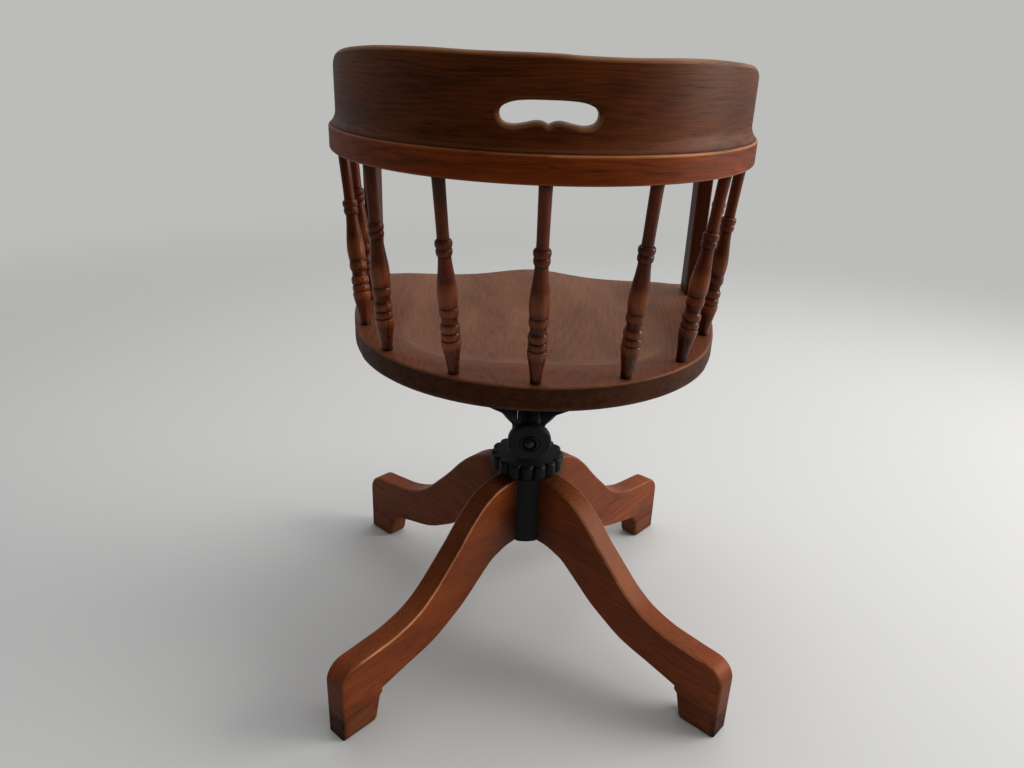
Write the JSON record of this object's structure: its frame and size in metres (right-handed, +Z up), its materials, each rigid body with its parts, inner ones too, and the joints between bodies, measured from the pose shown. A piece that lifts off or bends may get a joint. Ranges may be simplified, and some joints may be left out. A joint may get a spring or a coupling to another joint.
{
  "type": "bankers swivel chair",
  "caption": "Oak office chair with curved arm bow, turned spindles and dished seat, on a tilting iron head, lift screw and splayed sawn legs.",
  "frame": {"origin": "on the floor, at the middle of the four feet, under the column's axis", "axes": "+Z up, +Y towards the chair's back, +X towards the sitter's left"},
  "size_m": [0.564, 0.564, 0.84],
  "materials": {
    "oak_rail": "varnished dark oak, worn at the edges",
    "oak_seat": "varnished oak, dulled by use",
    "oak_turned": "varnished turned oak",
    "iron": "black japanned casting, dusty",
    "steel": "dull dark steel"
  },
  "bodies": {
    "base": {"leg_1": "oak_rail", "leg_2": "oak_rail", "leg_3": "oak_rail", "leg_4": "oak_rail", "foot_block_1": "oak_rail", "foot_block_2": "oak_rail", "foot_block_3": "oak_rail", "foot_block_4": "oak_rail", "leg_bolt_1": "steel", "leg_bolt_2": "steel", "leg_bolt_3": "steel", "leg_bolt_4": "steel", "hub": "iron", "wheel_washer": "steel"},
    "wheel": {"handwheel": "iron"},
    "column": {"lift_screw": "steel", "stop_washer": "steel", "stop_bolt": "steel", "thrust_washer": "steel"},
    "head": {"yoke": "iron", "yoke_set_screw": "steel", "spring_seat": "steel", "tension_spring": "steel"},
    "seat_frame": {"seat": "oak_seat", "seat_iron": "iron", "pivot_pin": "steel", "pivot_nut": "steel", "seat_screw_1": "steel", "seat_screw_2": "steel", "seat_screw_3": "steel", "seat_screw_4": "steel", "spindle_1": "oak_turned", "spindle_2": "oak_turned", "spindle_3": "oak_turned", "spindle_4": "oak_turned", "spindle_5": "oak_turned", "spindle_6": "oak_turned", "spindle_7": "oak_turned", "spindle_8": "oak_turned", "spindle_9": "oak_turned", "arm_post_left": "oak_rail", "arm_post_right": "oak_rail", "arm_left": "oak_rail", "arm_right": "oak_rail", "crest_rail": "oak_rail", "crest_screw_1": "steel", "crest_screw_2": "steel", "crest_screw_3": "steel", "crest_screw_4": "steel"},
    "rod": {"tension_rod": "steel", "rod_crosshead": "steel"},
    "plate": {"spring_plate": "steel"},
    "knob": {"tension_knob": "iron", "knob_locknut": "steel"}
  },
  "joints": [
    {"name": "wheel_turn", "type": "hinge", "parent": "base", "child": "wheel", "pos_m": [0, 0, 0.279], "axis": [0, 0, 1], "range_deg": [-720, 4200]},
    {"name": "screw_lift", "type": "slide", "parent": "base", "child": "column", "axis": [0, 0, 1], "range_m": [-0.01201, 0.07001]},
    {"name": "seat_swivel", "type": "hinge", "parent": "column", "child": "head", "pos_m": [0, 0, 0.33], "axis": [0, 0, 1], "continuous": true},
    {"name": "seat_tilt", "type": "hinge", "parent": "head", "child": "seat_frame", "pos_m": [0, 0, 0.418], "axis": [-1, 0, 0], "range_deg": [0, 15], "stiffness_Nm_per_rad": 120, "springref_deg": -8.59},
    {"name": "rod_slide", "type": "slide", "parent": "head", "child": "rod", "axis": [0, -0.9816, 0.1908], "range_m": [0, 0.0128], "deforming": ["tension_spring"]},
    {"name": "plate_travel", "type": "slide", "parent": "rod", "child": "plate", "axis": [0, -0.9816, 0.1908], "range_m": [-0.00451, 0]},
    {"name": "knob_turn", "type": "hinge", "parent": "plate", "child": "knob", "pos_m": [0, 0.09482, 0.35577], "axis": [0, -0.9816, 0.1908], "range_deg": [-1080, 0]}
  ],
  "couplings": [
    {"joint": "screw_lift", "follows": "wheel_turn", "m_per_rad": 0.00095493},
    {"joint": "rod_slide", "follows": "seat_tilt", "m_per_rad": 0.0486},
    {"joint": "plate_travel", "follows": "knob_turn", "m_per_rad": 0.00023873}
  ]
}
